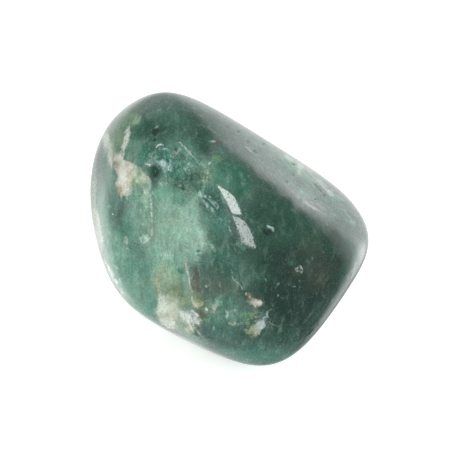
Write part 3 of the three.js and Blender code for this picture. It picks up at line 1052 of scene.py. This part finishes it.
def agate_material(settings):
    colours = settings.colours
    mottle = settings.mottle
    shader = Shader(bpy.data.materials.new("tree_agate"))
    place = shader.node("ShaderNodeTexCoord", None, None, "Object")
    zone = shader.attribute("body_colour", "Color")
    marks = shader.attribute("mark_colour", "Color")
    cover = shader.attribute("mark_cover", "Fac")
    seen = shader.attribute("seen", "Fac")
    grain = shader.attribute("grain", "Fac")
    dull = shader.attribute("dull", "Fac")
    wisp_place = shader.node(
        "ShaderNodeMapping",
        {"vector_type": "TEXTURE"},
        {"Vector": place, "Rotation": FIBRE_TURN, "Scale": (1.0, FIBRE_STRETCH, 1.0)},
    )
    clouds, grit, tint, flecks = (shader.noise(n, place) for n in ("clouds", "grit", "tint", "flecks"))
    wisps, fine = (shader.noise(n, wisp_place) for n in ("wisps", "fine"))

    # Broad clouds lean towards warm grey or towards clear green.
    body = shader.blend(seen, hidden_marks(shader, place, zone, colours), zone)
    warm = shader.vector("MULTIPLY", body, WARM_FILTER)
    body = shader.blend(shader.ease(tint, 0.52, 0.68), body, warm)
    cool = shader.vector("MULTIPLY", body, COOL_FILTER)
    body = shader.blend(shader.ease(tint, 0.48, 0.34), body, cool)

    # Wisps of paler and of darker mineral drift through the body.
    body = shader.blend(shader.ease(wisps, 0.5, 0.75) * grain * 0.5, body, colours.pale_mint)
    body = shader.brighten(body, 1 - shader.ease(wisps, 0.5, 0.25) * grain * 0.35)

    # Crystals are angular grains with dark joints.
    angular = {"Vector": place, "Scale": 1 / CRYSTAL_CELL, "Randomness": 1.0}
    cell = shader.node("ShaderNodeTexVoronoi", {"distance": "MANHATTAN"}, angular, "Color")
    level = shader.node("ShaderNodeSeparateColor", None, {0: cell}, "Red")
    joint = shader.node("ShaderNodeTexVoronoi", {"feature": "DISTANCE_TO_EDGE"}, angular, "Distance")
    crystal = shader.ease(grain, 0.6, 0.95)
    body = shader.brighten(body, 1 + (level - 0.5) * crystal * 0.45)
    body = shader.blend(shader.ease(joint, 0.08, 0.0) * crystal * 0.6, body, colours.night)

    # The marks break up into grains at their edges.
    crumbs = (fine - 0.5) * 0.9 + (grit - 0.5) * 0.5
    ragged = shader.ease(cover + crumbs * shader.ease(cover, 0.0, 0.25), 0.2, 0.8)
    body = shader.blend(ragged, body, marks)

    # The grain lightens and darkens everything, and leaves pale and dark flecks.
    body = shader.brighten(body, 1 + (clouds - 0.5) * 0.7 * mottle)
    body = shader.brighten(body, 1 + (fine - 0.5) * (0.4 + grain) * 1.1 * mottle)
    body = shader.brighten(body, 1 + (grit - 0.5) * (0.4 + grain) * 1.2 * mottle)
    body = shader.blend(shader.ease(flecks, 0.6, 0.7) * grain * 0.45, body, colours.mint)
    body = shader.blend(shader.ease(flecks, 0.4, 0.3) * grain * 0.45, body, colours.night)

    # The polish is full but for the sunken marks and a few fine pores.
    roughness = settings.polish + dull * 0.45 + shader.ease(grit, 0.57, 0.67) * 0.38
    height = (fine + grit * 0.5) * (dull + SKIN_SHOWS)
    relief = {"Strength": SKIN_STRENGTH, "Distance": SKIN_HEIGHT, "Height": height}
    skin = shader.node("ShaderNodeBump", None, relief)
    finish = {"Base Color": body, "Roughness": roughness, "IOR": AGATE_IOR, "Normal": skin}
    return shader.finish(shader.node("ShaderNodeBsdfPrincipled", None, finish))


def floor_material(colour, glow):
    shader = Shader(bpy.data.materials.new("pale_floor"))
    finish = {
        "Base Color": (*colour, 1.0),
        "Roughness": 0.7,
        "Specular IOR Level": 0.2,
        "Emission Color": (1.0, 1.0, 1.0, 1.0),
        "Emission Strength": glow,
    }
    return shader.finish(shader.node("ShaderNodeBsdfPrincipled", None, finish))


# The stage

# The floor lies this far below the stone.
FLOOR_GAP = 0.01 * MM

# The soft lights: name, azimuth and elevation. All have this distance and this size, in metres.
SOFTLIGHTS = (("key", 230, 60), ("fill", 330, 50), ("back", 45, 35))
LIGHT_DISTANCE = 0.6
LIGHT_SIZE = 0.5

# Each window pane: its share of the window's brightness, and the outline of its reflection in the
# stone, in pixels of the photograph. The panes hang this far from the stone, in metres.
PANES = {
    "upper_pane": (
        1.0,
        (216, 184), (223.3, 195.8), (231.2, 212.6), (236, 214.4), (241.4, 214.2),
        (239.4, 208.3), (233.6, 196), (228.3, 191.4), (222, 188),
    ),
    "lower_pane": (
        0.73,
        (232.2, 215.4), (235.2, 223.2), (238.2, 231.2), (241.4, 240.4), (245, 244.2), (250, 246.6),
        (256.2, 248.6), (253.8, 241.6), (248, 226.6), (243.6, 220.6), (238, 217.4),
    ),
}
PANE_DISTANCE = 3.0

# The pale walls that the polish mirrors: name, azimuth and elevation of the middle, the half angles of
# the bright heart and of the faded rim, and the brightness. The room between them is this bright.
WALLS = (
    ("behind, low", 37, -38, 4, 29, 2.5),
    ("behind, high", 36, -13, 5, 43, 1.68),
    ("behind on the left", 76, -26, 5, 35, 1.18),
    ("top end", 130, -52, 8, 30, 0.48),
    ("top end, high", 126, -14, 10, 44, 0.7),
    ("left", 188, -32, 4, 34, 2.7),
    ("front left", 222, -48, 5, 46, 0.8),
    ("beyond", 112, -58, 12, 40, 0.3),
    ("below", 0, -90, 10, 55, 0.4),
)
DARK_ROOM = 0.08


def direction(azimuth, elevation):
    turn, rise = math.radians(azimuth), math.radians(elevation)
    return Vector((math.cos(turn) * math.cos(rise), math.sin(turn) * math.cos(rise), math.sin(rise)))


def link_mesh(name, bm, material):
    mesh = bpy.data.meshes.new(name)
    bm.to_mesh(mesh)
    bm.free()
    mesh.materials.append(material)
    item = bpy.data.objects.new(name, mesh)
    bpy.context.scene.collection.objects.link(item)
    return item


def add_softlight(name, azimuth, elevation, power):
    """A soft area light that faces the stone and isn't mirrored in its polish."""
    light = bpy.data.lights.new(name, "AREA")
    light.shape = "DISK"
    light.size = LIGHT_SIZE
    light.energy = power
    item = bpy.data.objects.new(name, light)
    away = direction(azimuth, elevation)
    item.location = away * LIGHT_DISTANCE
    item.rotation_euler = away.to_track_quat("Z", "Y").to_euler()
    item.visible_glossy = False
    bpy.context.scene.collection.objects.link(item)


class AGATE_OT_add_stone(bpy.types.Operator):
    """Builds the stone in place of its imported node"""

    bl_idname = "agate.add_stone"
    bl_label = "Add stone"

    def execute(self, context):
        settings = context.scene.agate
        noise.seed_set(DRIFT_SEED)
        stone = link_mesh("agate_stone", refined_stone(settings), agate_material(settings))
        add_value(stone.data, "dull", carve_stone(stone.data, settings))
        paint_stone(stone.data, settings.colours)
        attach(stone, "root")
        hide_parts(STONE_NODE)
        return {"FINISHED"}


class AGATE_OT_add_stage(bpy.types.Operator):
    """Builds the floor, the lights, the surroundings and the camera"""

    bl_idname = "agate.add_stage"
    bl_label = "Add stage"

    def execute(self, context):
        settings = context.scene.agate_stage
        bm = bmesh.new()
        bmesh.ops.create_grid(bm, x_segments=1, y_segments=1, size=settings.floor_half)
        floor = link_mesh("floor", bm, floor_material(settings.floor_colour, settings.floor_glow))
        floor.location.z = -FLOOR_GAP
        floor.visible_glossy = False
        self.add_panes(settings)
        for name, azimuth, elevation in SOFTLIGHTS:
            add_softlight(f"{name}_light", azimuth, elevation, getattr(settings, f"{name}_power"))
        self.add_surroundings(context, settings)
        self.add_camera(context)
        return {"FINISHED"}

    def add_panes(self, settings):
        """Hangs each window pane where the stone mirrors it within its outline."""
        view = View(bpy.data.objects["agate_stone"].data)
        for name, (share, *outline) in PANES.items():
            bm = bmesh.new()
            bm.faces.new([bm.verts.new(view.mirrored(*pixel, PANE_DISTANCE)) for pixel in outline])
            shader = Shader(bpy.data.materials.new(name))
            glow = shader.node("ShaderNodeEmission", None, {"Strength": settings.window * share})
            pane = link_mesh(name, bm, shader.finish(glow))
            pane.visible_camera = False
            pane.visible_diffuse = False

    def add_surroundings(self, context, settings):
        """Even light on the stone, a white backdrop, and pale walls that only the polish mirrors."""
        world = bpy.data.worlds.new("surroundings")
        shader = Shader(world)
        outward = shader.node("ShaderNodeTexCoord", None, None, "Generated")
        walls = DARK_ROOM
        for _, azimuth, elevation, heart, rim, brightness in WALLS:
            nearness = shader.vector("DOT_PRODUCT", outward, direction(azimuth, elevation), "Value")
            inner, outer = math.cos(math.radians(heart)), math.cos(math.radians(rim))
            walls = shader.ease(nearness, outer, inner) * brightness + walls
        glossy = shader.node("ShaderNodeLightPath", None, None, "Is Glossy Ray")
        camera = shader.node("ShaderNodeLightPath", None, None, "Is Camera Ray")
        strength = glossy * walls + (1 - glossy) * settings.air
        strength = camera + (1 - camera) * strength
        backdrop = shader.node("ShaderNodeBackground", None, {"Strength": strength})
        context.scene.world = shader.finish(backdrop, "ShaderNodeOutputWorld")

    def add_camera(self, context):
        data = bpy.data.cameras.new("camera")
        data.lens = LENS
        data.sensor_width = SENSOR
        camera = bpy.data.objects.new("camera", data)
        camera.location = camera_point()
        camera.rotation_euler = Vector(BACK).to_track_quat("Z", "Y").to_euler()
        context.scene.collection.objects.link(camera)
        context.scene.camera = camera
        context.scene.view_settings.view_transform = "Standard"


class AGATE_PT_sidebar(bpy.types.Panel):
    """The agate's operators"""

    bl_label = "Tumbled tree agate"
    bl_idname = "AGATE_PT_sidebar"
    bl_space_type = "VIEW_3D"
    bl_region_type = "UI"
    bl_category = "Agate"

    def draw(self, context):
        for operator in (AGATE_OT_add_stone, AGATE_OT_add_stage):
            self.layout.operator(operator.bl_idname)


CLASSES = (
    AgateColours,
    AgateSettings,
    StageSettings,
    AGATE_OT_add_stone,
    AGATE_OT_add_stage,
    AGATE_PT_sidebar,
)


def register():
    for item in CLASSES:
        bpy.utils.register_class(item)
    bpy.types.Scene.agate = PointerProperty(type=AgateSettings)
    bpy.types.Scene.agate_stage = PointerProperty(type=StageSettings)


def unregister():
    del bpy.types.Scene.agate_stage
    del bpy.types.Scene.agate
    for item in reversed(CLASSES):
        bpy.utils.unregister_class(item)


def main():
    register()
    bpy.ops.agate.add_stone()
    bpy.ops.agate.add_stage()


if __name__ == "__main__":
    main()
